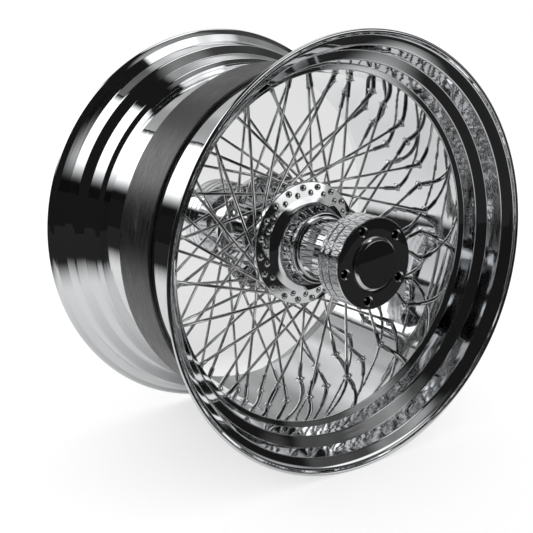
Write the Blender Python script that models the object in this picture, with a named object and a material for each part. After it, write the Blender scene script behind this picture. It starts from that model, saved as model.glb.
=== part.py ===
"""A chromed motorcycle rear wheel, 18 x 10.5 inch, laced with eighty spokes.

The wheel stands upright: its axle lies along Y, +Z is up, and the origin is the wheel's centre.
The front, towards -Y, is the side whose bearing cover is closed.  Lengths are in metres.
"""
import math

import bmesh
import bpy
from mathutils import Matrix, Vector

MM = 0.001                      # outlines below are written in millimetres
GAP = 0.3                       # clearance between touching pieces

# Rim: a rolled steel drop-centre section, the same on both sides.
RIM_SEGMENTS = 60
RIM_HUB_SIDE = [(201.8, 75.0), (208.4, 92.4), (213.6, 105.0), (226.0, 119.5), (229.0, 131.0),
                (234.5, 137.7), (240.5, 139.4), (242.4, 143.1), (242.4, 148.0)]
RIM_TYRE_SIDE = [(245.0, 148.0), (245.0, 143.1), (242.5, 137.5), (236.0, 135.4), (231.5, 130.5),
                 (228.6, 118.2), (216.2, 103.6), (211.0, 91.2), (204.4, 73.8)]
BAND_INNER_RADIUS = 204.8       # rubber band over the nipple ends
BAND_OUTER_RADIUS = 208.2
BAND_FRONT = -38.9              # it lies a little nearer the front
BAND_REAR = 30.1
VALVE_HOLE_RADIUS = 4.2
VALVE_HOLE_ANGLE = 90.0
DRILL_RADII = (196.0, 209.0)    # the rim is drilled from the first radius to the second

# Hub shell: two ends of three turned bands, necks, collars and dished flanges.
HUB_SEGMENTS = 40
HUB_END = 160.8
FLANGE_FRONT = 42.5
FLANGE_BACK = 34.0
HUB_OUTSIDE = [(49.9, HUB_END), (50.7, 160.0), (50.7, 146.6), (49.3, 145.6), (50.7, 144.6),
               (50.7, 135.2), (49.3, 134.2), (50.7, 133.2), (50.7, 127.2), (49.7, 126.2),
               (36.5, 126.2), (36.5, 71.5), (40.5, 71.5), (42.5, 69.5), (42.5, 61.5),
               (44.8, 50.5), (49.5, 44.6), (55.0, FLANGE_FRONT), (72.0, FLANGE_FRONT),
               (73.0, 41.5), (73.0, FLANGE_BACK), (40.0, FLANGE_BACK)]
HUB_BORE = 20.0
POCKET_RADIUS = 26.3
POCKET_FLOOR = 141.7
RECESS_RADIUS = 29.6            # the bearing cover's brim lies in this recess
RECESS_FLOOR = 160.0
BOLT_CIRCLE = 82.55 / 2
BOLT_COUNT = 5
BOLT_ANGLE = 43.6
BOLT_HOLE_RADIUS = 4.76
BOLT_HOLE_DEPTH = 19.0
COUNTERSINK_RADIUS = 6.2
COUNTERSINK_DEPTH = 1.5
HOLE_SIDES = 8

# Bearings, one in each hub end, for a 1 inch axle.
BEARING_SEGMENTS = 20
BEARING_IN = 142.0
BEARING_OUT = 157.0
AXLE_BORE = 12.7
INNER_RACE_RADIUS = 16.4
OUTER_RACE_INSIDE = 21.7
OUTER_RACE_RADIUS = 26.0
ROLLERS = 12
ROLLER_INSIDE = 16.8
ROLLER_OUTSIDE = 21.2
CAGE_INSIDE = 18.4
CAGE_OUTSIDE = 19.6
ROLLER_HALF_ANGLE = 6.0
TUBE_RADIUS = 15.8
SEAL_HOLE = 17.0
SEAL_IN = 157.3
SEAL_OUT = 159.3
COVER_SPIGOT = 159.6
COVER_SEAT = 160.3
COVER_SHOULDER = 163.6
COVER_FACE = 165.8
COVER_RADIUS = 29.3
COVER_FACE_RADIUS = 27.1
COVER_HOLE = 17.5

# Lacing: on each flange an outer and an inner ring of holes, which feed an outer and an inner
# row of nipples.  The two rings lean opposite ways and so cross.  Angles are in degrees, from
# +X towards +Z; a spoke takes a hub hole three steps round from its nipple.
SPOKE_SIDES = 5
SPOKES_PER_RING = 20
STEP = 360.0 / SPOKES_PER_RING
HOLES_ROUND = 3
OUTER_RING = 67.4
INNER_RING = 60.4
OUTER_RING_ANGLE = 6.3
INNER_RING_ANGLE = 15.3
OUTER_ROW = 28.8
INNER_ROW = 21.6
OUTER_ROW_ANGLE = 4.4
INNER_ROW_ANGLE = 13.9
NIPPLE_BASE = 199.0             # radius at which the nipple rows are set out
REAR_TURN = 3.55                # the rear lacing is the front turned over about this angle
PARTNER_STEPS = 4               # a spoke rests on the one this many steps round, at the flange
WIRE = 2.1
HEAD_RADIUS = 4.0
HEAD_TOP_RADIUS = 2.6
HEAD_HEIGHT = 2.8
ELBOW_RUN = 2.4
OUTER_EXIT = 31.6               # how far from the middle the two rings leave the flange
INNER_EXIT = 29.13
NIPPLE_RADIUS = 2.9
NIPPLE_LENGTH = 19.0
NIPPLE_TAPER = 0.8
NIPPLE_END = 203.1
HOLE_CLEARANCE = 0.4            # round a nipple in the rim and a spoke in the flange


def clear_scene():
    for item in list(bpy.data.objects):
        bpy.data.objects.remove(item, do_unlink=True)


def finish(name, color, metallic, roughness):
    material = bpy.data.materials.new(name)
    material.use_nodes = True
    shader = material.node_tree.nodes["Principled BSDF"]
    shader.inputs["Base Color"].default_value = (*color, 1.0)
    shader.inputs["Metallic"].default_value = metallic
    shader.inputs["Roughness"].default_value = roughness
    return material


def empty(name):
    marker = bpy.data.objects.new(name, None)
    bpy.context.collection.objects.link(marker)
    return marker


def new_mesh(name, bm):
    """Turn a bmesh into a closed, outward-facing mesh with smooth rounds and crisp edges."""
    bmesh.ops.remove_doubles(bm, verts=bm.verts, dist=0.000001)
    bmesh.ops.recalc_face_normals(bm, faces=bm.faces)
    mesh = bpy.data.meshes.new(name)
    bm.to_mesh(mesh)
    bm.free()
    mesh.shade_smooth()
    mesh.set_sharp_from_angle(angle=math.radians(35))
    return mesh


def place(name, mesh, material=None, parent=None):
    piece = bpy.data.objects.new(name, mesh)
    bpy.context.collection.objects.link(piece)
    if material:
        mesh.materials.clear()
        mesh.materials.append(material)
    piece.parent = parent
    return piece


def turned(name, outline, segments, material, parent, closed=True):
    """Spin an outline of (radius, y) points about the axle line."""
    bm = bmesh.new()
    points = [bm.verts.new((radius * MM, along * MM, 0.0)) for radius, along in outline]
    edges = [bm.edges.new(pair) for pair in zip(points, points[1:])]
    if closed:
        edges.append(bm.edges.new((points[-1], points[0])))
    bmesh.ops.spin(bm, geom=points + edges, axis=(0, 1, 0), cent=(0, 0, 0),
                   angle=2 * math.pi, steps=segments, use_merge=True)
    return place(name, new_mesh(name, bm), material, parent)


def both_sides(half):
    """Mirror a half outline, given from the wheel's outside to its middle, across the middle."""
    front = [(radius, -along) for radius, along in half]
    rear = [(radius, along) for radius, along in reversed(half)]
    return front + rear


def ring_outline(inside, outside, start, end):
    return [(inside, start), (outside, start), (outside, end), (inside, end)]


def capped_tube(bm, sections, sides):
    """Skin a tube through sections, each a (centre, first axis, second axis, radius)."""
    rings = []
    for centre, across, along, radius in sections:
        ring = []
        for corner in range(sides):
            angle = 2 * math.pi * (corner + 0.5) / sides
            offset = across * math.cos(angle) + along * math.sin(angle)
            ring.append(bm.verts.new((centre + offset * radius) * MM))
        rings.append(ring)
    for ring, following in zip(rings, rings[1:]):
        for corner in range(sides):
            after = (corner + 1) % sides
            bm.faces.new((ring[corner], ring[after], following[after], following[corner]))
    bm.faces.new(rings[0])
    bm.faces.new(rings[-1])


def cut(piece, name, bm):
    """Cut a bmesh's closed bodies out of a piece."""
    cutter = place(name, new_mesh(name, bm))
    cutter.hide_render = True
    cutter.display_type = "WIRE"
    modifier = piece.modifiers.new(name, "BOOLEAN")
    modifier.operation = "DIFFERENCE"
    modifier.solver = "EXACT"
    modifier.object = cutter


def polar(radius, along, angle):
    turn = math.radians(angle)
    return Vector((radius * math.cos(turn), along, radius * math.sin(turn)))


def turn_about_axle(steps):
    return Matrix.Rotation(-math.radians(STEP * steps), 4, "Y")


def turn_over():
    """Half a turn about a line across the wheel, which takes the front lacing to the rear."""
    return Matrix.Rotation(math.pi, 4, polar(1.0, 0.0, REAR_TURN))


class Lay:
    """Where one spoke runs, and the axes that its sections are drawn on.

    The flat of a section's polygon faces away from the flange on the outer ring and towards it
    on the inner ring, so that two crossing spokes meet flat on flat.
    """

    def __init__(self, ring, ring_angle, exit_depth, row, row_angle, facing):
        self.hole = polar(ring, 0.0, ring_angle)
        self.bend = Vector((self.hole.x, -exit_depth, self.hole.z))
        base = polar(NIPPLE_BASE, -row, row_angle)
        self.base = base
        self.run = (base - self.bend).normalized()
        self.side = Vector((0, 1, 0)).cross(self.run).normalized()
        self.back = self.run.cross(self.side).normalized() * facing
        flat_run = Vector((self.run.x, 0.0, self.run.z)).normalized()
        self.shank_back = -flat_run * facing
        self.shank_side = Vector((0, 1, 0)).cross(flat_run)

    def shank(self, depth, radius):
        centre = Vector((self.hole.x, -depth, self.hole.z))
        return (centre, self.shank_back, self.shank_side, radius)

    def straight(self, centre, radius):
        return (centre, self.back, self.side, radius)

    def at_radius(self, radius):
        """The point on the spoke's line at this distance from the axle line."""
        flat = Vector((self.run.x, self.run.z))
        start = Vector((self.base.x, self.base.z))
        a = flat.dot(flat)
        b = start.dot(flat)
        c = start.dot(start) - radius * radius
        return self.base + self.run * ((-b + math.sqrt(b * b - a * c)) / a)


def outer_lay(step=0):
    turn = STEP * step
    return Lay(OUTER_RING, OUTER_RING_ANGLE + STEP * HOLES_ROUND + turn, OUTER_EXIT,
               OUTER_ROW, OUTER_ROW_ANGLE + turn, 1)


def inner_lay(step=0):
    turn = STEP * step
    return Lay(INNER_RING, INNER_RING_ANGLE - STEP * HOLES_ROUND + turn, INNER_EXIT,
               INNER_ROW, INNER_ROW_ANGLE + turn, -1)


def spoke_mesh(name, lay):
    """A spoke from its domed head to the end of its nipple, which is screwed on to it."""
    bm = bmesh.new()
    head_base = FLANGE_FRONT + GAP
    nipple_start = lay.base - lay.run * NIPPLE_LENGTH
    sections = [lay.shank(head_base + HEAD_HEIGHT, HEAD_TOP_RADIUS),
                lay.shank(head_base, HEAD_RADIUS),
                lay.shank(head_base, WIRE),
                lay.shank(FLANGE_BACK - GAP / 2, WIRE),
                lay.straight(lay.bend + lay.run * ELBOW_RUN, WIRE),
                lay.straight(nipple_start, WIRE),
                lay.straight(nipple_start + lay.run * NIPPLE_TAPER, NIPPLE_RADIUS),
                lay.straight(lay.at_radius(NIPPLE_END), NIPPLE_RADIUS)]
    capped_tube(bm, sections, SPOKE_SIDES)
    return new_mesh(name, bm)


def pair_mesh():
    """Two spokes joined where the inner one rests on the outer one, just behind the flange."""
    outer = place("outer_spoke", spoke_mesh("outer_spoke", outer_lay()))
    inner = place("inner_spoke", spoke_mesh("inner_spoke", inner_lay(PARTNER_STEPS)))
    modifier = outer.modifiers.new("rest", "BOOLEAN")
    modifier.operation = "UNION"
    modifier.solver = "EXACT"
    modifier.object = inner
    graph = bpy.context.evaluated_depsgraph_get()
    mesh = bpy.data.meshes.new_from_object(outer.evaluated_get(graph))
    mesh.name = "spoke_pair"
    for guide in (outer, inner):
        bpy.data.objects.remove(guide, do_unlink=True)
    return mesh


def make_spokes(material, parent):
    mesh = pair_mesh()
    mesh.materials.append(material)
    for side, over in (("front", Matrix()), ("rear", turn_over())):
        for step in range(SPOKES_PER_RING):
            pair = place(f"spoke_pair_{side}_{step + 1:02d}", mesh, None, parent)
            pair.matrix_local = over @ turn_about_axle(step)


def all_lays():
    """Every spoke's lay with the matrix that takes it from the first front one to its place."""
    for over in (Matrix(), turn_over()):
        for step in range(SPOKES_PER_RING):
            yield outer_lay(), over @ turn_about_axle(step)
            yield inner_lay(), over @ turn_about_axle(step)


def add_turned_tube(bm, sections, matrix):
    """Skin a tube through sections and take it to its place round the wheel."""
    before = set(bm.verts)
    capped_tube(bm, sections, SPOKE_SIDES)
    added = [vert for vert in bm.verts if vert not in before]
    bmesh.ops.transform(bm, matrix=matrix, verts=added)


def add_valve_hole(bm):
    out = polar(1.0, 0.0, VALVE_HOLE_ANGLE)
    along = Vector((0, 1, 0))
    sections = [(out * radius, along, along.cross(out), VALVE_HOLE_RADIUS)
                for radius in DRILL_RADII]
    capped_tube(bm, sections, HOLE_SIDES)


def make_rim(material, parent):
    rear_tyre_side = [(radius, -along) for radius, along in reversed(RIM_TYRE_SIDE)]
    outline = both_sides(list(reversed(RIM_HUB_SIDE))) + RIM_TYRE_SIDE + rear_tyre_side
    rim = turned("rim", outline, RIM_SEGMENTS, material, parent)
    holes = bmesh.new()
    for lay, matrix in all_lays():
        sections = [lay.straight(lay.at_radius(radius), NIPPLE_RADIUS + HOLE_CLEARANCE)
                    for radius in DRILL_RADII]
        add_turned_tube(holes, sections, matrix)
    add_valve_hole(holes)
    cut(rim, "rim_holes", holes)


def make_band(material, parent):
    outline = ring_outline(BAND_INNER_RADIUS, BAND_OUTER_RADIUS, BAND_FRONT, BAND_REAR)
    band = turned("rim_band", outline, RIM_SEGMENTS, material, parent)
    hole = bmesh.new()
    add_valve_hole(hole)
    cut(band, "band_valve_hole", hole)


def add_bolt_hole(bm, angle, end):
    """A blind, countersunk hole in a hub end; end is -1 for the front and 1 for the rear."""
    across = polar(1.0, 0.0, angle)
    side = Vector((0, 1, 0)).cross(across)
    slope = (COUNTERSINK_RADIUS - BOLT_HOLE_RADIUS) / COUNTERSINK_DEPTH
    sections = []
    for depth, radius in ((-1.0, COUNTERSINK_RADIUS + slope), (COUNTERSINK_DEPTH, BOLT_HOLE_RADIUS),
                          (BOLT_HOLE_DEPTH, BOLT_HOLE_RADIUS)):
        centre = polar(BOLT_CIRCLE, end * (HUB_END - depth), angle)
        sections.append((centre, across, side, radius))
    capped_tube(bm, sections, HOLE_SIDES)


def make_hub(material, parent):
    inside = [(HUB_BORE, POCKET_FLOOR), (POCKET_RADIUS, POCKET_FLOOR),
              (POCKET_RADIUS, RECESS_FLOOR), (RECESS_RADIUS, RECESS_FLOOR),
              (RECESS_RADIUS, HUB_END)]
    outline = both_sides(HUB_OUTSIDE) + list(reversed(both_sides(list(reversed(inside)))))
    hub = turned("hub_shell", outline, HUB_SEGMENTS, material, parent)
    holes = bmesh.new()
    for lay, matrix in all_lays():
        sections = [lay.shank(depth, WIRE + HOLE_CLEARANCE)
                    for depth in (FLANGE_FRONT + 3, FLANGE_BACK - 3)]
        add_turned_tube(holes, sections, matrix)
    for number in range(BOLT_COUNT):
        turn = number * 360.0 / BOLT_COUNT
        add_bolt_hole(holes, BOLT_ANGLE + turn, -1)
        add_bolt_hole(holes, 2 * REAR_TURN - BOLT_ANGLE - turn, 1)
    cut(hub, "hub_holes", holes)


def roller_outline(lobe, web):
    """A ring of points that stands at the lobe radius over a roller and at the web between."""
    points = []
    pitch = 360.0 / ROLLERS
    for roller in range(ROLLERS):
        for turn, radius in ((-ROLLER_HALF_ANGLE, lobe), (ROLLER_HALF_ANGLE, lobe),
                             (pitch / 2 - ROLLER_HALF_ANGLE, web),
                             (pitch / 2 + ROLLER_HALF_ANGLE, web)):
            points.append(polar(radius, 0.0, roller * pitch + turn))
    return points


def make_roller_set(name, end, material, parent):
    """The rollers and the cage that spaces them, as one ring with a lobe for each roller."""
    bm = bmesh.new()
    loops = []
    for points in (roller_outline(ROLLER_OUTSIDE, CAGE_OUTSIDE),
                   roller_outline(ROLLER_INSIDE, CAGE_INSIDE)):
        loops.append([bm.verts.new((point + Vector((0, end * (BEARING_IN + 1), 0))) * MM)
                      for point in points])
    count = len(loops[0])
    faces = []
    for corner in range(count):
        after = (corner + 1) % count
        faces.append(bm.faces.new((loops[0][corner], loops[0][after],
                                   loops[1][after], loops[1][corner])))
    made = bmesh.ops.extrude_face_region(bm, geom=faces)
    moved = [item for item in made["geom"] if isinstance(item, bmesh.types.BMVert)]
    width = BEARING_OUT - BEARING_IN - 2
    bmesh.ops.translate(bm, verts=moved, vec=(0, end * width * MM, 0))
    place(name, new_mesh(name, bm), material, parent)


def make_bearing(side, end, metals, parents):
    """One bearing with its seal: outer race in the hub, inner race on the axle, rollers between."""
    steel, bright, rubber = metals
    axle, wheel, cage = parents
    start = end * BEARING_IN
    stop = end * BEARING_OUT
    turned(f"bearing_outer_race_{side}",
           ring_outline(OUTER_RACE_INSIDE, OUTER_RACE_RADIUS, start, stop),
           BEARING_SEGMENTS, steel, wheel)
    turned(f"bearing_inner_race_{side}", ring_outline(AXLE_BORE, INNER_RACE_RADIUS, start, stop),
           BEARING_SEGMENTS, steel, axle)
    make_roller_set(f"bearing_rollers_{side}", end, bright, cage)
    turned(f"bearing_seal_{side}",
           ring_outline(SEAL_HOLE, OUTER_RACE_RADIUS, end * SEAL_IN, end * SEAL_OUT),
           BEARING_SEGMENTS, rubber, wheel)


def make_covers(material, parent):
    """The chamfered cover of each hub end: closed in front, open for the axle at the rear."""
    edge = [(OUTER_RACE_RADIUS, COVER_SPIGOT), (OUTER_RACE_RADIUS, COVER_SEAT),
            (COVER_RADIUS, COVER_SEAT), (COVER_RADIUS, COVER_SHOULDER),
            (COVER_FACE_RADIUS, COVER_FACE)]
    closed = [(0.0, COVER_SPIGOT), *edge, (0.0, COVER_FACE)]
    turned("bearing_cover_front", [(radius, -along) for radius, along in closed],
           BEARING_SEGMENTS, material, parent, closed=False)
    turned("bearing_cover_rear", [(COVER_HOLE, COVER_SPIGOT), *edge, (COVER_HOLE, COVER_FACE)],
           BEARING_SEGMENTS, material, parent)


def main():
    clear_scene()
    chrome = finish("chrome", (0.78, 0.79, 0.80), 1.0, 0.06)
    black_chrome = finish("dark_chrome", (0.30, 0.31, 0.33), 1.0, 0.08)
    spoke_steel = finish("spoke_steel", (0.62, 0.62, 0.61), 1.0, 0.18)
    rubber = finish("rubber", (0.05, 0.05, 0.05), 0.0, 0.6)
    steel = finish("bearing_steel", (0.45, 0.45, 0.46), 1.0, 0.3)
    bright = finish("roller_steel", (0.60, 0.60, 0.62), 1.0, 0.15)
    axle = empty("axle_core")
    wheel = empty("wheel")
    make_rim(chrome, wheel)
    make_band(rubber, wheel)
    make_hub(chrome, wheel)
    make_spokes(spoke_steel, wheel)
    for side, end in (("front", -1), ("rear", 1)):
        cage = empty(f"cage_{side}")
        make_bearing(side, end, (steel, bright, rubber), (axle, wheel, cage))
    make_covers(black_chrome, wheel)
    turned("bearing_spacer_tube",
           ring_outline(AXLE_BORE, TUBE_RADIUS, -(BEARING_IN - GAP), BEARING_IN - GAP),
           BEARING_SEGMENTS, steel, axle)


main()
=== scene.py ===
"""The finished look of a chromed motorcycle wheel: surfaces, plating, rubber, stage and lights.

The wheel's axle lies along Y and its front, with the closed bearing cover, faces -Y.  Outlines
are (radius, along) pairs in millimetres, turned about the axle; the scene itself is in metres.
"""
import math

import bmesh
import bpy
from mathutils import Matrix, Vector


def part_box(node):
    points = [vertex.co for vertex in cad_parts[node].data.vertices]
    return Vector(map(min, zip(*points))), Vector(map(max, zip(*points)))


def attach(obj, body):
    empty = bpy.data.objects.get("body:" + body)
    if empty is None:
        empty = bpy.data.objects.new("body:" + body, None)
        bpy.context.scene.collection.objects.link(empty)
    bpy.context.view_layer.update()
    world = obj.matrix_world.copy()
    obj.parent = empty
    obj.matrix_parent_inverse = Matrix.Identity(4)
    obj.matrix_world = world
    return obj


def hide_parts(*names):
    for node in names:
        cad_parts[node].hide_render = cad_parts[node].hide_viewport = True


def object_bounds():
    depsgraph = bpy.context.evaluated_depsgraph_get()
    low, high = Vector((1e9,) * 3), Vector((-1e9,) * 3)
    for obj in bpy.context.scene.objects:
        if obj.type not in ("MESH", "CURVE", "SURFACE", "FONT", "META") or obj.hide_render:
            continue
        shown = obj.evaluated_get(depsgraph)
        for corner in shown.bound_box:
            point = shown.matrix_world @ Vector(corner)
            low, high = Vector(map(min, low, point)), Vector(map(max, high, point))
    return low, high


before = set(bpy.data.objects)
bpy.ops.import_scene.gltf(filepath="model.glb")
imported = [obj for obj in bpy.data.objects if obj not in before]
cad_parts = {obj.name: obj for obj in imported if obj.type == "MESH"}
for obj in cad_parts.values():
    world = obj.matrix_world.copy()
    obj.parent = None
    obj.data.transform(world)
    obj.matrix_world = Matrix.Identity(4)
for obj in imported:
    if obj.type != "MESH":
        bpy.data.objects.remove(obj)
cad_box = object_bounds()

MM = 0.001
WHEEL = "wheel"
AXLE = "axle_core"
FULL_TURN = 2 * math.pi
ALONG_AXLE = Vector((0, 1, 0))

# The lip of the rim, read from the frame, and the sheet it is rolled from.
LIP_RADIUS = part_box("rim")[1].x / MM
LIP_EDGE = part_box("rim")[1].y / MM
SHEET = 2.6
BARREL = 201.8                  # hub side of the drop centre
RIM_STEPS = 288

# Lacing: two rings of holes on each flange, two rows of nipples in the rim.  Angles are in
# degrees, from +X towards +Z.
SPOKES_PER_RING = 20
STEP = 360 / SPOKES_PER_RING
FLANGE_FRONT = 42.5
FLANGE_BACK = 34.0
NIPPLE_BASE = 199.0
REAR_TURN = 3.55                # the rear lacing is the front turned over about this angle
RINGS = {                       # hole radius, hole angle, bend depth, bend radius, row, row angle
    "outer": (67.4, 6.3 + 3 * STEP, 31.6, 2.3, 28.8, 4.4),
    "inner": (60.4, 15.3 - 3 * STEP, 28.0, 4.0, 21.6, 13.9),
}
PARTNER_STEPS = 4               # CAD joins an outer spoke to the inner one this many steps on
WIRE = 1.8
HEAD_RADIUS = 4.0
HEAD_HEIGHT = 2.9
NIPPLE_LENGTH = 19.5
NIPPLE_RADIUS = 2.85

# Hub: radii of its ends, necks, flanges and middle, and the five bolt holes in each end.
HUB_END = 50.7
HUB_NECK = 36.5
HUB_FLANGE = 73.0
HUB_MIDDLE = 40.0
HUB_BORE = 20.0
BOLT_CIRCLE = 82.55 / 2
BOLT_COUNT = 5
BOLT_ANGLE = 43.6
BOLT_RADIUS = 4.76
BOLT_DEPTH = 19.0

# Bearings: radii of the axle, of the tracks that the rollers run on and of the housing, and
# where the races and seals start and stop along the axle.
AXLE_RADIUS = 12.7
INNER_TRACK = 16.4
OUTER_TRACK = 21.7
HOUSING = 26.0
RACE_START = 142.0
RACE_STOP = 157.0
SEAL_START = 157.3
SEAL_STOP = 159.3
ROLLER_RADIUS = 2.2
ROLLER_HALF = 6.0
ROLLER_COUNT = 12


# ---------------------------------------------------------------- outlines and meshes

def arc(centre, radius, start, stop, steps):
    """Points on a circle about (radius, along), angles from outwards towards +Y, in degrees."""
    points = []
    for step in range(steps + 1):
        angle = math.radians(start + (stop - start) * step / steps)
        points.append((centre[0] + radius * math.cos(angle), centre[1] + radius * math.sin(angle)))
    return points


def rounded(corners, steps=6):
    """Replace each (radius, along, fillet) corner by an arc that touches both its sides."""
    points = []
    last = len(corners) - 1
    for place, (radius, along, fillet) in enumerate(corners):
        here = Vector((radius, along))
        if fillet == 0 or place in (0, last):
            points.append((radius, along))
            continue
        before = (Vector(corners[place - 1][:2]) - here).normalized()
        after = (Vector(corners[place + 1][:2]) - here).normalized()
        half = before.angle(after) / 2
        reach = fillet / math.tan(half)
        centre = here + (before + after).normalized() * (fillet / math.sin(half))
        start = here + before * reach - centre
        stop = here + after * reach - centre
        sweep = start.angle_signed(stop)
        for step in range(steps + 1):
            turned_start = start.copy()
            turned_start.rotate(Matrix.Rotation(-sweep * step / steps, 2))
            points.append(tuple(centre + turned_start))
    return points


def other_half(half):
    """The -Y half of an outline, which goes on where its +Y half stops."""
    return [(radius, -along) for radius, along in reversed(half)]


def new_object(name, mesh, material, smooth=True):
    """Put a mesh in the scene under this name, with this one material."""
    piece = bpy.data.objects.new(name, mesh)
    bpy.context.scene.collection.objects.link(piece)
    mesh.materials.clear()
    mesh.materials.append(material)
    if smooth:
        mesh.shade_smooth()
    return piece


def mesh_from(name, points, faces):
    """A mesh from points in millimetres, with doubled points joined and its faces turned out."""
    mesh = bpy.data.meshes.new(name)
    mesh.from_pydata([tuple(Vector(point) * MM) for point in points], [], faces)
    bm = bmesh.new()
    bm.from_mesh(mesh)
    bmesh.ops.remove_doubles(bm, verts=bm.verts, dist=0.000001)
    bmesh.ops.recalc_face_normals(bm, faces=bm.faces)
    bm.to_mesh(mesh)
    bm.free()
    return mesh


def turned_mesh(name, outline, steps, closed=True):
    """Turn an outline about the axle; an open outline starts and ends on the axle itself."""
    points = []
    for step in range(steps):
        angle = FULL_TURN * step / steps
        for radius, along in outline:
            points.append((radius * math.cos(angle), along, radius * math.sin(angle)))
    count = len(outline)
    faces = []
    for step in range(steps):
        here = step * count
        there = (step + 1) % steps * count
        for place in range(count if closed else count - 1):
            after = (place + 1) % count
            faces.append((here + place, here + after, there + after, there + place))
    return mesh_from(name, points, faces)


def turned(name, outline, steps, material, body, nodes=(), closed=True):
    """A turned piece, tied to its body, CAD nodes and slot."""
    piece = new_object(name, turned_mesh(name, outline, steps, closed), material)
    settle(piece, body, nodes)


def settle(piece, body, nodes=()):
    """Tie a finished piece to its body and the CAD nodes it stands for."""
    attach(piece, body)
    if nodes:
        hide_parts(*nodes)


def swept(name, sections, sides):
    """Skin a closed body through sections, each (centre, across, up, radius).

    The radius may be a function of the angle round the section.
    """
    points = []
    for centre, across, up, radius in sections:
        for side in range(sides):
            angle = FULL_TURN * side / sides
            reach = radius(angle) if callable(radius) else radius
            points.append(centre + (across * math.cos(angle) + up * math.sin(angle)) * reach)
    faces = []
    for ring in range(len(sections) - 1):
        here = ring * sides
        for side in range(sides):
            after = (side + 1) % sides
            faces.append((here + side, here + after, here + sides + after, here + sides + side))
    faces.append(tuple(range(sides)))
    faces.append(tuple(range(len(points) - sides, len(points))))
    return mesh_from(name, points, faces)


def polar(radius, along, angle):
    """The point this far from the axle and along it, at an angle in degrees."""
    turn = math.radians(angle)
    return Vector((radius * math.cos(turn), along, radius * math.sin(turn)))


def about_axle(degrees):
    """A turn about the axle, from +X towards +Z."""
    return Matrix.Rotation(-math.radians(degrees), 4, "Y")


def turned_over():
    """Half a turn about a line across the wheel, which takes the front lacing to the rear."""
    return Matrix.Rotation(math.pi, 4, polar(1.0, 0.0, REAR_TURN))


# ---------------------------------------------------------------- materials

class Surface:
    """A Principled material and the helpers that wire procedural detail into it."""

    def __init__(self, name, color, metallic, roughness):
        self.material = bpy.data.materials.new(name)
        self.material.use_nodes = True
        self.nodes = self.material.node_tree.nodes
        self.links = self.material.node_tree.links
        self.shader = self.nodes["Principled BSDF"]
        self.shader.inputs["Base Color"].default_value = (*color, 1.0)
        self.shader.inputs["Metallic"].default_value = metallic
        self.shader.inputs["Roughness"].default_value = roughness
        self.where = self.nodes.new("ShaderNodeTexCoord").outputs["Object"]

    def noise(self, scale, detail=3.0, stretch=(1, 1, 1)):
        """A noise value over the piece, finer along an axis that is stretched more."""
        mapping = self.nodes.new("ShaderNodeMapping")
        mapping.inputs["Scale"].default_value = stretch
        texture = self.nodes.new("ShaderNodeTexNoise")
        texture.inputs["Scale"].default_value = scale
        texture.inputs["Detail"].default_value = detail
        self.links.new(self.where, mapping.inputs["Vector"])
        self.links.new(mapping.outputs["Vector"], texture.inputs["Vector"])
        return texture.outputs["Fac"]

    def ramp(self, value, stops):
        """Map a value through (position, colour) stops."""
        ramp = self.nodes.new("ShaderNodeValToRGB")
        elements = ramp.color_ramp.elements
        while len(elements) < len(stops):
            elements.new(0.5)
        for element, (position, color) in zip(elements, stops):
            element.position = position
            element.color = (*color, 1.0)
        self.links.new(value, ramp.inputs["Fac"])
        return ramp.outputs["Color"]

    def spread(self, value, low, high):
        """Map a 0 to 1 value to the range low to high, which its middle part already fills."""
        scale = self.nodes.new("ShaderNodeMapRange")
        scale.inputs["From Min"].default_value = 0.3
        scale.inputs["From Max"].default_value = 0.7
        scale.inputs["To Min"].default_value = low
        scale.inputs["To Max"].default_value = high
        self.links.new(value, scale.inputs["Value"])
        return scale.outputs["Result"]

    def bump(self, value, distance, below=None):
        """A surface normal from a height value, on top of the normal below it."""
        bump = self.nodes.new("ShaderNodeBump")
        bump.inputs["Distance"].default_value = distance
        bump.inputs["Strength"].default_value = 1.0
        self.links.new(value, bump.inputs["Height"])
        if below:
            self.links.new(below, bump.inputs["Normal"])
        return bump.outputs["Normal"]

    def set(self, socket, value):
        """Feed a value into one of the shader's sockets."""
        self.links.new(value, self.shader.inputs[socket])


def maths(tree, operation, first, second):
    """A Math node in a node tree, fed by sockets or by plain numbers."""
    node = tree.nodes.new("ShaderNodeMath")
    node.operation = operation
    for socket, value in zip(node.inputs, (first, second)):
        if isinstance(value, (int, float)):
            socket.default_value = value
        else:
            tree.links.new(value, socket)
    return node.outputs["Value"]


def inside_edges(tree, where, edges, shade=1.0):
    """The shade inside all the edges, fading to 0 over each one's soft border.

    An edge is (the x, y, z of its normal, how far along it the region starts, how soft it is).
    """
    for normal, level, soft in edges:
        along = tree.nodes.new("ShaderNodeVectorMath")
        along.operation = "DOT_PRODUCT"
        along.inputs[1].default_value = normal
        tree.links.new(where, along.inputs[0])
        fade = tree.nodes.new("ShaderNodeMapRange")
        fade.interpolation_type = "SMOOTHSTEP"
        fade.inputs["From Min"].default_value = level - soft
        fade.inputs["From Max"].default_value = level + soft
        tree.links.new(along.outputs["Value"], fade.inputs["Value"])
        shade = maths(tree, "MULTIPLY", fade.outputs["Result"], shade)
    return shade


def chrome_surface(name, color, rough_low, rough_high, wave=0.00001, drawn=0.0):
    """Plated metal: a faint tint drift, fine wiping haze and a very slight waviness.

    Rolled or turned metal also has shallow lines drawn round it, this deep.
    """
    surface = Surface(name, color, 1.0, rough_low)
    haze = surface.noise(55.0, 5.0, (1.0, 2.5, 1.0))
    surface.set("Roughness", surface.spread(haze, rough_low, rough_high))
    drift = surface.noise(9.0, 2.0)
    darker = tuple(channel * 0.93 for channel in color)
    surface.set("Base Color", surface.ramp(drift, [(0.3, darker), (0.7, color)]))
    uneven = surface.bump(surface.noise(38.0, 2.0), wave)
    if drawn:
        uneven = surface.bump(surface.noise(75.0, 3.0, (0.06, 1.0, 0.06)), drawn, uneven)
    surface.set("Normal", uneven)
    return surface.material


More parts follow.
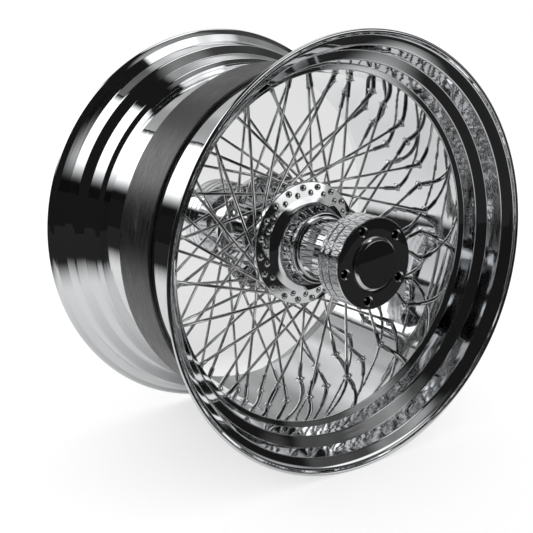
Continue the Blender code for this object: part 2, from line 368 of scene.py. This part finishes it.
def rubber_surface(name):
    """Black rubber with long drawn streaks round it, dull scuffs and a soft shine."""
    surface = Surface(name, (0.012, 0.012, 0.012), 0.0, 0.4)
    surface.shader.inputs["Specular IOR Level"].default_value = 1.0
    streaks = surface.noise(60.0, 6.0, (1.0, 6.0, 1.0))
    scuffs = surface.noise(26.0, 8.0, (1.0, 2.5, 1.0))
    surface.set("Base Color", surface.ramp(scuffs, [(0.35, (0.003, 0.003, 0.003)),
                                                    (0.62, (0.007, 0.007, 0.007)),
                                                    (0.75, (0.05, 0.05, 0.048))]))
    surface.set("Roughness", surface.spread(streaks, 0.24, 0.42))
    grain = surface.bump(surface.noise(900.0, 3.0), 0.00006)
    surface.set("Normal", surface.bump(streaks, 0.0003, grain))
    return surface.material


def steel_surface(name, color, rough_low, rough_high):
    """Ground steel: fine lines round the axle."""
    surface = Surface(name, color, 1.0, rough_low)
    lines = surface.noise(240.0, 3.0, (0.15, 4.0, 0.15))
    surface.set("Roughness", surface.spread(lines, rough_low, rough_high))
    surface.set("Normal", surface.bump(lines, 0.00002))
    return surface.material


# ---------------------------------------------------------------- rim

# Corners of the rim's hub side from the middle to the lip: radius, along, bend radius.  The
# walls are steep and the two seats between them nearly level, up to the curled flange.
RIM_CORNERS = [(BARREL, 0.0, 0), (BARREL, 88.4, 2.6), (207.5, 92.4, 1.8), (212.7, 108.6, 4.0),
               (223.3, 116.2, 2.5), (228.4, 135.4, 5.0), (236.2, 141.8, 16.0), (241.7, 144.9, 0)]
# The tyre side: the bead's seat, then the flange up to a step under the lip.
TYRE_SEAT_CORNER = (229.7, 130.0, 4.0)
FLANGE_CORNERS = [(238.4, 140.6, 2.0), (242.6, 142.6, 0)]
LIP_BEAD = 2.1

# A punched dome is a ball cap this wide on a short flared skirt.
DOME_RADIUS = 4.2
DOME_SKIRT = 1.4
DOME_RISE = 3.1


def beside(corners, distance):
    """The same corners on the sheet's other face, each side moved over by the distance."""
    moved = []
    for place, (radius, along, bend) in enumerate(corners):
        here = Vector((radius, along))
        sides = []
        if place > 0:
            sides.append((here - Vector(corners[place - 1][:2])).normalized())
        if place < len(corners) - 1:
            sides.append((Vector(corners[place + 1][:2]) - here).normalized())
        normals = [Vector((side.y, -side.x)) for side in sides]
        middle = (normals[0] + normals[-1]).normalized()
        shift = middle * (distance / middle.dot(normals[0]))
        if bend:
            toward_hub = normals[0].cross(normals[-1]) > 0
            bend = max(bend + distance if toward_hub else bend - distance, 0.4)
        moved.append((*(here + shift), bend))
    return moved


def rim_outline():
    """The rolled section: drop centre, two steps, flange and beaded lip, one sheet thick."""
    hub_side = rounded(RIM_CORNERS, 12)
    walls = beside(RIM_CORNERS, SHEET)[:5]
    tyre_side = rounded(walls + [TYRE_SEAT_CORNER] + FLANGE_CORNERS, 12)
    bead = arc((LIP_RADIUS - LIP_BEAD, LIP_EDGE - LIP_BEAD), LIP_BEAD, 200, -50, 14)
    half = hub_side[1:] + bead + tyre_side[:0:-1]
    return half + other_half(half)


def dome_points(lay, steps=20):
    """The punched dome a nipple sits in: a ball top that flares into the barrel's surface."""
    centre = lay.nipple_at(BARREL - 3.4)
    angle = math.atan2(centre.z, centre.x)
    section = [(6.6, -0.6), (6.6, 0.0), (5.6, 0.12), (4.7, 0.6), (4.25, DOME_SKIRT)]
    for step in range(1, 8):
        lift = math.radians(12.0 * step)
        section.append((DOME_RADIUS * math.cos(lift), DOME_SKIRT + DOME_RISE * math.sin(lift)))
    points = []
    for reach, height in section:
        for step in range(steps):
            turn = FULL_TURN * step / steps
            around = angle + reach * math.cos(turn) / BARREL
            radius = BARREL - height
            points.append(Vector((radius * math.cos(around), centre.y + reach * math.sin(turn),
                                  radius * math.sin(around))))
    faces = []
    for ring in range(len(section) - 1):
        for step in range(steps):
            after = (step + 1) % steps
            here = ring * steps
            faces.append((here + step, here + after, here + steps + after, here + steps + step))
    faces.append(tuple(range(steps)))
    faces.append(tuple(range(len(points) - steps, len(points))))
    return points, faces


def make_rim(chrome):
    turned("rim_shell", rim_outline(), RIM_STEPS, chrome, WHEEL, ["rim"])
    points = []
    faces = []
    for sizes in RINGS.values():
        dome, skin = dome_points(Lay(*sizes))
        for over in (Matrix(), turned_over()):
            for number in range(SPOKES_PER_RING):
                matrix = over @ about_axle(STEP * number)
                start = len(points)
                points += [matrix @ point for point in dome]
                faces += [tuple(start + corner for corner in face) for face in skin]
    domes = new_object("rim_nipple_domes", mesh_from("rim_nipple_domes", points, faces), chrome)
    settle(domes, WHEEL, ())


def make_band(rubber):
    """The rubber strip over the nipple ends, a little uneven in its edges and its thickness."""
    low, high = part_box("rim_band")
    front = low.y / MM
    rear = high.y / MM
    outside = high.x / MM
    inside = BARREL + SHEET + 0.4
    outline = rounded([(inside, 0.0, 0), (inside, rear, 0.3), (outside - 0.5, rear, 0.8),
                       (outside, rear - 4.0, 3.0), (outside, front + 2.0, 3.0),
                       (outside - 0.3, front, 0.7), (inside, front, 0.3), (inside, 0.0, 0)])[1:-1]
    mesh = turned_mesh("rim_band_strip", outline, RIM_STEPS)
    for vertex in mesh.vertices:
        angle = math.atan2(vertex.co.z, vertex.co.x)
        lift = math.hypot(vertex.co.x, vertex.co.z) / MM - inside
        if lift > 1.0:
            shrink = 1.0 - 0.0006 * (1.0 + math.sin(7 * angle) * math.cos(3 * angle))
            vertex.co.x *= shrink
            vertex.co.z *= shrink
            vertex.co.y += 0.25 * MM * math.sin(11 * angle + 0.6)
    band = new_object("rim_band_strip", mesh, rubber)
    settle(band, WHEEL, ["rim_band"])


# ---------------------------------------------------------------- spokes

class Lay:
    """Where one spoke runs: through its flange hole, round its bend and on to its nipple."""

    def __init__(self, hole_radius, hole_angle, depth, bend, row, row_angle):
        self.hole = polar(hole_radius, 0.0, hole_angle)
        self.bend = bend
        self.corner = Vector((self.hole.x, -depth, self.hole.z))
        self.base = polar(NIPPLE_BASE, -row, row_angle)
        self.run = (self.base - self.corner).normalized()
        self.side = ALONG_AXLE.cross(self.run).normalized()

    def nipple_at(self, radius):
        """The point on the spoke's line at this distance from the axle."""
        a = self.run.x ** 2 + self.run.z ** 2
        b = self.base.x * self.run.x + self.base.z * self.run.z
        c = self.base.x ** 2 + self.base.z ** 2 - radius ** 2
        return self.base + self.run * ((-b + math.sqrt(b * b - a * c)) / a)

    def shank(self, depth, radius):
        """A section across the axle's direction, this far in front of the wheel's middle."""
        centre = Vector((self.hole.x, -depth, self.hole.z))
        return (centre, self.side, self.side.cross(ALONG_AXLE), radius)

    def bent(self, steps=7):
        """Sections round the bend, from along the axle to along the spoke."""
        turn = ALONG_AXLE.angle(self.run)
        start = self.corner - ALONG_AXLE * (self.bend * math.tan(turn / 2))
        outwards = self.side.cross(ALONG_AXLE)
        centre = start + outwards * self.bend
        arm = start - centre
        sections = []
        for step in range(steps + 1):
            rotation = Matrix.Rotation(turn * step / steps, 3, self.side)
            sections.append((centre + rotation @ arm, self.side, rotation @ outwards, WIRE))
        return sections

    def straight(self, centre, radius):
        """A section across the spoke's straight run."""
        return (centre, self.side, self.side.cross(self.run), radius)


def spoke_sections(lay):
    """A round head on the flange, the shank through it, the bend and the straight wire."""
    sections = []
    for lift in (90, 75, 60, 45, 30, 15, 0):
        angle = math.radians(lift)
        depth = FLANGE_FRONT + 0.1 + HEAD_HEIGHT * math.sin(angle)
        sections.append(lay.shank(depth, max(HEAD_RADIUS * math.cos(angle), 0.25)))
    sections.append(lay.shank(FLANGE_FRONT - 0.9, HEAD_RADIUS))
    sections.append(lay.shank(FLANGE_FRONT - 1.0, WIRE))
    sections += lay.bent()
    sections.append(lay.straight(lay.base - lay.run * (NIPPLE_LENGTH - 3), WIRE))
    return sections


def nipple_sections(lay):
    """A barrel with shallow wrench flats, chamfered at the spoke's end and round at the rim's."""
    def flats(angle):
        near_corner = abs(math.cos(2 * angle))
        return NIPPLE_RADIUS * (1.0 - 0.10 * (1 - near_corner) ** 0.5 * near_corner)

    sections = []
    for distance, radius in ((0.0, WIRE + 0.15), (0.35, 2.35), (1.0, 2.6), (1.01, 2.6)):
        sections.append(lay.straight(lay.base - lay.run * (NIPPLE_LENGTH - distance), radius))
    for share in (0.1, 0.3, 0.5, 0.7):
        centre = lay.base - lay.run * NIPPLE_LENGTH * (1 - share)
        sections.append(lay.straight(centre, flats))
    sections.append(lay.straight(lay.base - lay.run * NIPPLE_LENGTH * 0.22, NIPPLE_RADIUS))
    sections.append(lay.straight(lay.nipple_at(BARREL + 0.5), NIPPLE_RADIUS))
    return sections


def make_spokes(wire, nipple):
    """The 80 spokes and their nipples: each ring's one spoke, turned round and then over."""
    for ring, sizes in RINGS.items():
        lay = Lay(*sizes)
        spoke_mesh = swept(f"spoke_{ring}", spoke_sections(lay), 14)
        nipple_mesh = swept(f"nipple_{ring}", nipple_sections(lay), 20)
        for side, over in (("front", Matrix()), ("rear", turned_over())):
            for number in range(SPOKES_PER_RING):
                label = f"{side}_{ring}_{number + 1:02d}"
                matrix = over @ about_axle(STEP * number)
                pair = number if ring == "outer" else (number - PARTNER_STEPS) % SPOKES_PER_RING
                node = f"spoke_pair_{side}_{pair + 1:02d}"
                for name, mesh, finish in ((f"spoke_{label}", spoke_mesh, wire),
                                           (f"nipple_{label}", nipple_mesh, nipple)):
                    piece = new_object(name, mesh, finish)
                    piece.matrix_world = matrix
                    settle(piece, WHEEL, [node])


# ---------------------------------------------------------------- hub

def hub_outline():
    """The hub's section: grooved end, neck, collar, dished flange and middle, and the bore."""
    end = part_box("hub_shell")[1].y / MM
    grooves = []
    for middle in (145.6, 134.2):
        grooves += [(HUB_END, middle + 1.0, 0.3), (HUB_END - 1.4, middle + 0.5, 0.3),
                    (HUB_END - 1.4, middle - 0.5, 0.3), (HUB_END, middle - 1.0, 0.3)]
    end_edge = [(29.6, end - 0.8, 0), (29.6, end, 0.2), (HUB_END - 0.8, end, 0.2),
                (HUB_END, end - 0.9, 0.4)]
    neck = [(HUB_END, 126.2, 1.0), (HUB_NECK, 126.2, 1.0), (HUB_NECK, 71.5, 1.0)]
    collar = [(41.9, 71.5, 1.6), (42.6, 62.0, 4), (45.4, 48.0, 9)]
    flange = [(56.5, 44.2, 6), (HUB_FLANGE, 41.3, 0.9), (HUB_FLANGE, FLANGE_BACK, 0.9),
              (HUB_MIDDLE, FLANGE_BACK, 2.0), (HUB_MIDDLE, 0.0, 0)]
    outside = rounded(end_edge + grooves + neck + collar + flange, 5)[:-1]
    bore = [(HUB_BORE, 141.7), (26.3, 141.7), (26.3, end - 0.8)]
    return outside + other_half(outside) + other_half(bore) + bore


def cut(piece, cutter):
    """Take the cutter out of the piece for good and delete it."""
    modifier = piece.modifiers.new("cut", "BOOLEAN")
    modifier.operation = "DIFFERENCE"
    modifier.solver = "EXACT"
    modifier.object = cutter
    graph = bpy.context.evaluated_depsgraph_get()
    mesh = bpy.data.meshes.new_from_object(piece.evaluated_get(graph))
    piece.modifiers.clear()
    piece.data = mesh
    bpy.data.objects.remove(cutter)


def bolt_hole_points(angle, end_sign, end):
    """A countersunk blind hole, as a closed cutter that starts just outside the end face."""
    across = polar(1.0, 0.0, angle)
    side = ALONG_AXLE.cross(across)
    depths = ((-1.0, 7.0), (0.0, 6.2), (0.7, 5.75), (1.4, 4.9), (1.8, BOLT_RADIUS),
              (BOLT_DEPTH, BOLT_RADIUS))
    sections = []
    for depth, radius in depths:
        centre = polar(BOLT_CIRCLE, end_sign * (end - depth), angle)
        sections.append((centre, across, side, radius))
    return sections


def make_hub(chrome):
    """The turned hub, with the bolt holes cut into both its ends."""
    hub = new_object("hub_body", turned_mesh("hub_body", hub_outline(), 180), chrome, False)
    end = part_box("hub_shell")[1].y / MM
    cutters = bmesh.new()
    for number in range(BOLT_COUNT):
        turn = number * 360 / BOLT_COUNT
        for angle, end_sign in ((BOLT_ANGLE + turn, -1), (2 * REAR_TURN - BOLT_ANGLE - turn, 1)):
            cutters.from_mesh(swept("hole", bolt_hole_points(angle, end_sign, end), 32))
    mesh = bpy.data.meshes.new("hole_cutter")
    cutters.to_mesh(mesh)
    cutters.free()
    cutter = bpy.data.objects.new("hole_cutter", mesh)
    bpy.context.scene.collection.objects.link(cutter)
    cut(hub, cutter)
    hub.data.shade_smooth()
    hub.data.set_sharp_from_angle(angle=math.radians(30))
    settle(hub, WHEEL, ["hub_shell"])


def cover_outline(sign, hole):
    """The bearing cover's section, from its middle or its hole round to there again."""
    back = 159.6
    face = -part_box("bearing_cover_front")[0].y / MM
    corners = [(hole, back, 0), (HOUSING, back, 0.3), (HOUSING, 160.3, 0.2), (29.3, 160.3, 0.4),
               (29.3, 162.6, 0.5), (26.6, face, 0.6)]
    if hole:
        corners += [(hole + 1.0, face, 0.5), (hole, face - 1.0, 0.4), (hole, back + 0.5, 0)]
    else:
        corners.append((0.0, face, 0))
    return [(radius, sign * along) for radius, along in rounded(corners, 5)]


def make_covers(chrome):
    """The closed cover at the front, and the rear one that is open for the axle."""
    turned("cover_front", cover_outline(-1, 0.0), 128, chrome, WHEEL, ["bearing_cover_front"],
           closed=False)
    turned("cover_rear", cover_outline(1, 17.5), 128, chrome, WHEEL, ["bearing_cover_rear"])


# ---------------------------------------------------------------- bearings

def ring_section(inside, outside, start, stop, fillet):
    """A ring's section with its four edges rounded."""
    middle = (start + stop) / 2
    corners = [(inside, middle, 0), (inside, stop, fillet), (outside, stop, fillet),
               (outside, start, fillet), (inside, start, fillet), (inside, middle, 0)]
    return rounded(corners, 4)[:-1]


def make_bearings(steel, bright, rubber):
    """Both bearings with their seals, and the tube that spaces their inner races."""
    for side, sign in (("front", -1), ("rear", 1)):
        start, stop = sorted((sign * RACE_START, sign * RACE_STOP))
        turned(f"outer_race_{side}", ring_section(OUTER_TRACK, HOUSING, start, stop, 0.7), 96,
               steel, WHEEL, [f"bearing_outer_race_{side}"])
        turned(f"inner_race_{side}", ring_section(AXLE_RADIUS, INNER_TRACK, start, stop, 0.7), 96,
               steel, AXLE, [f"bearing_inner_race_{side}"])
        start, stop = sorted((sign * SEAL_START, sign * SEAL_STOP))
        turned(f"seal_{side}", ring_section(17.0, HOUSING, start, stop, 0.5), 96, rubber, WHEEL,
               [f"bearing_seal_{side}"])
        make_rollers(side, sign, bright, steel)
    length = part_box("bearing_spacer_tube")[1].y / MM
    turned("spacer_tube", ring_section(AXLE_RADIUS, 15.8, -length, length, 0.5), 96, steel,
           AXLE, ["bearing_spacer_tube"])


def make_rollers(side, sign, bright, steel):
    """Twelve rollers with rounded ends, and the cage's ring at each end of them."""
    body = f"cage_{side}"
    middle = sign * (RACE_START + RACE_STOP) / 2
    profile = rounded([(0.0, -ROLLER_HALF, 0), (ROLLER_RADIUS, -ROLLER_HALF, 0.5),
                       (ROLLER_RADIUS, ROLLER_HALF, 0.5), (0.0, ROLLER_HALF, 0)], 4)
    rollers = bmesh.new()
    for number in range(ROLLER_COUNT):
        mesh = turned_mesh("roller", profile, 24, closed=False)
        place = polar(19.0 * MM, middle * MM, number * 360 / ROLLER_COUNT)
        mesh.transform(Matrix.Translation(place))
        rollers.from_mesh(mesh)
    mesh = bpy.data.meshes.new(f"rollers_{side}")
    rollers.to_mesh(mesh)
    rollers.free()
    piece = new_object(f"rollers_{side}", mesh, bright)
    settle(piece, body, [f"bearing_rollers_{side}"])
    for end_name, offset in (("inner", -6.4), ("outer", 6.4)):
        start = middle + offset - 0.3
        section = ring_section(17.2, 20.9, start, start + 0.6, 0.2)
        turned(f"cage_ring_{side}_{end_name}", section, 72, steel, body, ())


# ---------------------------------------------------------------- stage, light and camera

# Edges, as inside_edges takes them, in each flat piece's own plane.
LEFTWARDS = (-1, 0, 0)
RIGHTWARDS = (1, 0, 0)
FRONTWARDS = (0, -1, 0)
REARWARDS = (0, 1, 0)
UPWARDS = (0, 0, 1)

# The window at the left that the chrome mirrors.
WINDOW_MIDDLE = (-1.5, 3.2, 1.9)
WINDOW_GLOW = 1.6
WINDOW_EDGES = [(RIGHTWARDS, -3.35, 0.12), (LEFTWARDS, -2.9, 0.6),
                (REARWARDS, -1.25, 0.22), (FRONTWARDS, -1.15, 0.4)]
# The white sheet that it mirrors under the wheel.
SHEET_EDGES = [(REARWARDS, -0.32, 0.06), (RIGHTWARDS, -0.61, 0.16),
               ((-0.936, 0.351, 0), -0.42, 0.05), (LEFTWARDS, -1.0, 0.10),
               (FRONTWARDS, -2.6, 0.2)]
# Painted shade: the floor is a little greyer in a strip behind the wheel, as seen past its two
# sides.
PAINTED_SHADE_EDGES = [((0.873, -0.487, 0), -0.229, 0.14), ((-0.763, 0.646, 0), -0.193, 0.16),
               ((0.571, 0.821, 0), 0.20, 0.30), ((-0.571, -0.821, 0), -11.5, 3.0)]

# The mirrored room on a unit sphere, as directions seen from the wheel.
ROOM_DARK = 0.012
OVERHEAD = (0.156, -0.070, 0.985)
OVERHEAD_RIGHT = (0.47, 0.134, 0.872)
HIGH_FRONT = (0.24, -0.608, 0.756)
FAR_RIGHT = (0.507, -0.811, 0.292)
SIDE_RIGHT = (0.83, -0.55, 0.09)
BACK_WALL_TOP = (0, 0.78, -0.62)
BACK_WALL_RIGHT = (0.819, 0.574, 0)
BACK_WALL_LEFT = (-0.819, -0.574, 0)
CEILING_FRONT = (0, -0.78, 0.62)
CEILING_RIGHT = (0.712, 0.352, 0.610)
CEILING_LEFT = (-0.531, -0.227, 0.816)
# Each patch is (brightness, its edges).
ROOM_PATCHES = [
    # the dim ceiling at the front right
    (0.07, [(RIGHTWARDS, 0.0, 0.05), (CEILING_RIGHT, 0.0, 0.06), (CEILING_LEFT, 0.0, 0.05),
            (CEILING_FRONT, 0.0, 0.08)]),
    # the lamp overhead and a dimmer one before it
    (1.40, [(OVERHEAD, 0.972, 0.006)]),
    (0.30, [(HIGH_FRONT, 0.965, 0.02)]),
    # the pale upper corner at the rear right
    (0.40, [(RIGHTWARDS, 0.0, 0.05), (REARWARDS, 0.16, 0.08), (UPWARDS, 0.5, 0.1)]),
    # lamps at the right
    (1.20, [(FAR_RIGHT, 0.956, 0.012)]),
    (1.20, [(OVERHEAD_RIGHT, 0.985, 0.008)]),
    (0.45, [(SIDE_RIGHT, 0.97, 0.02)]),
    # the back wall: its right part down to the floor, its middle only above the wheel
    (0.45, [(BACK_WALL_TOP, 0.0, 0.08), (BACK_WALL_RIGHT, 0.40, 0.05), (UPWARDS, -0.06, 0.03)]),
    (0.45, [(BACK_WALL_TOP, 0.0, 0.08), (BACK_WALL_RIGHT, -0.08, 0.06),
            (BACK_WALL_LEFT, -0.40, 0.05), (UPWARDS, 0.20, 0.06)]),
]

# The camera that the photo's outlines fit, in metres, degrees and millimetres of film.
CAMERA_LENS = 62.51
CAMERA_SENSOR = 36.0
CAMERA_PLACE = (-0.6451, -0.8848, 0.2429)
CAMERA_TILT = 75.685
CAMERA_HEADING = -34.834


def flat_mesh(name, x0, y0, x1, y1):
    """One level face between two corners."""
    mesh = bpy.data.meshes.new(name)
    corners = [(x0, y0, 0), (x1, y0, 0), (x1, y1, 0), (x0, y1, 0)]
    mesh.from_pydata(corners, [], [(0, 1, 2, 3)])
    return mesh


def make_floor(level):
    """A pale floor that only the camera and soft light see, with a strip of painted shade behind
    the wheel.
    """
    paper = Surface("floor_paper", (0.45, 0.45, 0.45), 0.0, 0.9)
    paper.shader.inputs["Emission Color"].default_value = (1.0, 1.0, 1.0, 1.0)
    # painted shade: the floor's glow drops from 0.62 to 0.30 inside the strip behind the wheel
    shade = inside_edges(paper.material.node_tree, paper.where, PAINTED_SHADE_EDGES)
    paper.set("Emission Strength", paper.spread(shade, 0.62, 0.30))
    floor = new_object("floor", flat_mesh("floor", -40, -40, 40, 40), paper.material, False)
    floor.location.z = level
    floor.visible_glossy = False


def make_sheet(level):
    """The soft-edged white sheet that the chrome mirrors."""
    card = Surface("sheet_card", (0.6, 0.6, 0.6), 0.0, 0.9)
    card.shader.inputs["Specular IOR Level"].default_value = 0.0
    shade = inside_edges(card.material.node_tree, card.where, SHEET_EDGES)
    card.set("Base Color", card.ramp(shade, [(0.0, (0.02, 0.02, 0.02)),
                                             (1.0, (0.80, 0.80, 0.80))]))
    sheet = new_object("floor_sheet", flat_mesh("floor_sheet", -3, -1, 1.2, 3), card.material,
                       False)
    sheet.location.z = level + 0.0001
    sheet.visible_camera = False
    sheet.visible_diffuse = False
    sheet.visible_shadow = False


def make_window():
    """A glowing panel that the chrome mirrors and that lights the floor."""
    surface = Surface("left_window", (0.0, 0.0, 0.0), 0.0, 1.0)
    shade = inside_edges(surface.material.node_tree, surface.where, WINDOW_EDGES)
    surface.set("Emission Color", surface.ramp(shade, [(0.0, (0, 0, 0)), (1.0, (1, 1, 1))]))
    surface.shader.inputs["Emission Strength"].default_value = WINDOW_GLOW
    card = new_object("left_window", flat_mesh("left_window", -3.6, -1.6, 3.6, 1.6),
                      surface.material, False)
    card.location = WINDOW_MIDDLE
    card.rotation_euler = Vector(RIGHTWARDS).to_track_quat("Z", "Y").to_euler()
    card.visible_camera = False


def make_world():
    """An even white studio, and a dark room with pale patches for everything that mirrors it."""
    world = bpy.data.worlds.new("studio")
    world.use_nodes = True
    tree = world.node_tree
    where = tree.nodes.new("ShaderNodeTexCoord").outputs["Generated"]
    cloudy = tree.nodes.new("ShaderNodeTexNoise")
    cloudy.inputs["Scale"].default_value = 2.2
    cloudy.inputs["Detail"].default_value = 2.0
    tree.links.new(where, cloudy.inputs["Vector"])
    patchy = tree.nodes.new("ShaderNodeMapRange")
    patchy.inputs["From Min"].default_value = 0.35
    patchy.inputs["From Max"].default_value = 0.65
    patchy.inputs["To Min"].default_value = 0.6
    patchy.inputs["To Max"].default_value = 1.3
    tree.links.new(cloudy.outputs["Fac"], patchy.inputs["Value"])
    total = ROOM_DARK
    for brightness, edges in ROOM_PATCHES:
        light = maths(tree, "MULTIPLY", patchy.outputs["Result"], brightness)
        total = maths(tree, "ADD", inside_edges(tree, where, edges, light), total)
    white = tree.nodes["Background"]
    white.inputs["Color"].default_value = (1, 1, 1, 1)
    room = tree.nodes.new("ShaderNodeBackground")
    tree.links.new(total, room.inputs["Strength"])
    mirrored_ray = tree.nodes.new("ShaderNodeLightPath").outputs["Is Glossy Ray"]
    mix = tree.nodes.new("ShaderNodeMixShader")
    tree.links.new(mirrored_ray, mix.inputs["Fac"])
    tree.links.new(white.outputs["Background"], mix.inputs[1])
    tree.links.new(room.outputs["Background"], mix.inputs[2])
    tree.links.new(mix.outputs["Shader"], tree.nodes["World Output"].inputs["Surface"])
    bpy.context.scene.world = world


def make_camera():
    """The camera at the photo's angle, fitted to the outlines of both rims."""
    data = bpy.data.cameras.new("camera")
    data.lens = CAMERA_LENS
    data.sensor_width = CAMERA_SENSOR
    camera = bpy.data.objects.new("camera", data)
    camera.location = CAMERA_PLACE
    camera.rotation_euler = (math.radians(CAMERA_TILT), 0.0, math.radians(CAMERA_HEADING))
    bpy.context.scene.collection.objects.link(camera)
    bpy.context.scene.camera = camera


def main():
    bluish = (0.86, 0.87, 0.88)
    rim_chrome = chrome_surface("rim_chrome", bluish, 0.02, 0.045, drawn=0.00008)
    hub_chrome = chrome_surface("hub_chrome", bluish, 0.025, 0.05, drawn=0.00002)
    cover_chrome = chrome_surface("cover_chrome", (0.80, 0.81, 0.82), 0.02, 0.05)
    wire = chrome_surface("spoke_chrome", (0.80, 0.80, 0.80), 0.03, 0.06)
    nipple = chrome_surface("nipple_chrome", (0.62, 0.62, 0.63), 0.03, 0.08)
    rubber = rubber_surface("band_rubber")
    steel = steel_surface("ground_steel", (0.55, 0.55, 0.56), 0.22, 0.36)
    bright = steel_surface("roller_steel", (0.68, 0.68, 0.70), 0.10, 0.2)
    make_rim(rim_chrome)
    make_band(rubber)
    make_spokes(wire, nipple)
    make_hub(hub_chrome)
    make_covers(cover_chrome)
    make_bearings(steel, bright, rubber)
    make_world()
    make_floor(cad_box[0].z)
    make_sheet(cad_box[0].z)
    make_window()
    make_camera()
    bpy.context.scene.view_settings.view_transform = "Standard"


main()
